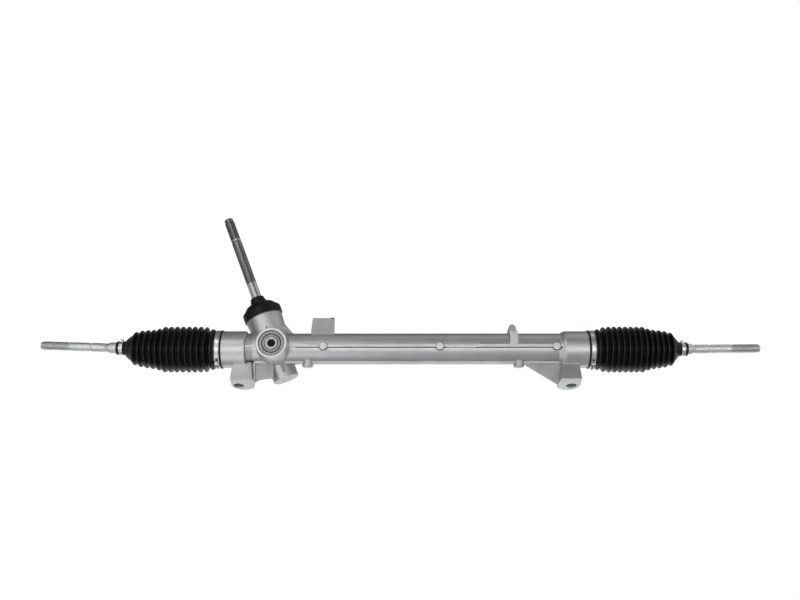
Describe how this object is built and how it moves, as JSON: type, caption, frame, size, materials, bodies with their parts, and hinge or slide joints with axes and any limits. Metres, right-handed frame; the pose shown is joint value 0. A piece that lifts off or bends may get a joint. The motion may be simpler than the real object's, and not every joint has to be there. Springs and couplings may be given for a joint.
{
  "type": "steering rack",
  "caption": "Manual rack and pinion steering gear: cast housing on two feet, tilted input shaft, yoke plug, bellows boots and threaded tie rods on ball joints.",
  "frame": {"origin": "midway between the two fixing holes, on the feet's mounting faces", "axes": "+X along the rack towards the end without the pinion, +Z away from the subframe along the fixing bolts, -Y towards the yoke plug"},
  "size_m": [1.1751, 0.1, 0.2915],
  "materials": {
    "cast_aluminium": "satin",
    "bush_plastic": "matte",
    "spring_steel": "satin",
    "zinc_steel": "satin",
    "rubber": "matte",
    "ground_steel": "polished",
    "dark_steel": "satin",
    "boot_rubber": "satin",
    "clamp_steel": "polished"
  },
  "bodies": {
    "housing": {"rack_housing": "cast_aluminium", "rack_bush": "bush_plastic", "yoke": "cast_aluminium", "yoke_liner": "bush_plastic", "yoke_disc_springs": "spring_steel", "yoke_plug": "zinc_steel", "yoke_o_ring": "rubber", "bearing_outer_ring": "ground_steel", "bearing_lock_nut": "zinc_steel", "lower_bearing": "ground_steel", "pinion_seal": "rubber", "dust_cap": "rubber", "left_boot": "boot_rubber", "right_boot": "boot_rubber", "left_boot_clamp": "clamp_steel", "right_boot_clamp": "clamp_steel"},
    "rack": {"rack_bar": "ground_steel", "left_stop_washer": "bush_plastic", "right_stop_washer": "bush_plastic", "left_socket": "zinc_steel", "right_socket": "zinc_steel"},
    "pinion": {"pinion_shaft": "dark_steel", "bearing_inner_ring": "ground_steel", "bearing_circlip": "spring_steel"},
    "left_seat": {"left_ball_seat": "bush_plastic"},
    "left_rod": {"left_tie_rod": "zinc_steel", "left_rod_clamp": "clamp_steel"},
    "right_seat": {"right_ball_seat": "bush_plastic"},
    "right_rod": {"right_tie_rod": "zinc_steel", "right_rod_clamp": "clamp_steel"}
  },
  "joints": [
    {"name": "rack_slide", "type": "slide", "parent": "housing", "child": "rack", "axis": [1, 0, 0], "range_m": [-0.058, 0.074], "deforming": ["left_boot", "right_boot"]},
    {"name": "pinion_turn", "type": "hinge", "parent": "housing", "child": "pinion", "pos_m": [-0.2128, 0.00009, 0.06024], "axis": [-0.3649, -0.1936, 0.9107], "range_deg": [-471.99, 602.08]},
    {"name": "left_rod_swing", "type": "hinge", "parent": "rack", "child": "left_seat", "pos_m": [-0.393, -0.0175, 0.0565], "axis": [0, 1, 0], "range_deg": [-17.1, 12.9], "deforming": ["left_boot"]},
    {"name": "left_rod_sweep", "type": "hinge", "parent": "left_seat", "child": "left_rod", "pos_m": [-0.393, -0.0175, 0.0565], "axis": [0, 0, 1], "range_deg": [-8, 8], "deforming": ["left_boot"]},
    {"name": "right_rod_swing", "type": "hinge", "parent": "rack", "child": "right_seat", "pos_m": [0.377, -0.0175, 0.0565], "axis": [0, 1, 0], "range_deg": [-14.4, 15.6], "deforming": ["right_boot"]},
    {"name": "right_rod_sweep", "type": "hinge", "parent": "right_seat", "child": "right_rod", "pos_m": [0.377, -0.0175, 0.0565], "axis": [0, 0, 1], "range_deg": [-8, 8], "deforming": ["right_boot"]}
  ],
  "couplings": [
    {"joint": "pinion_turn", "follows": "rack_slide", "rad_per_m": 141.91}
  ]
}
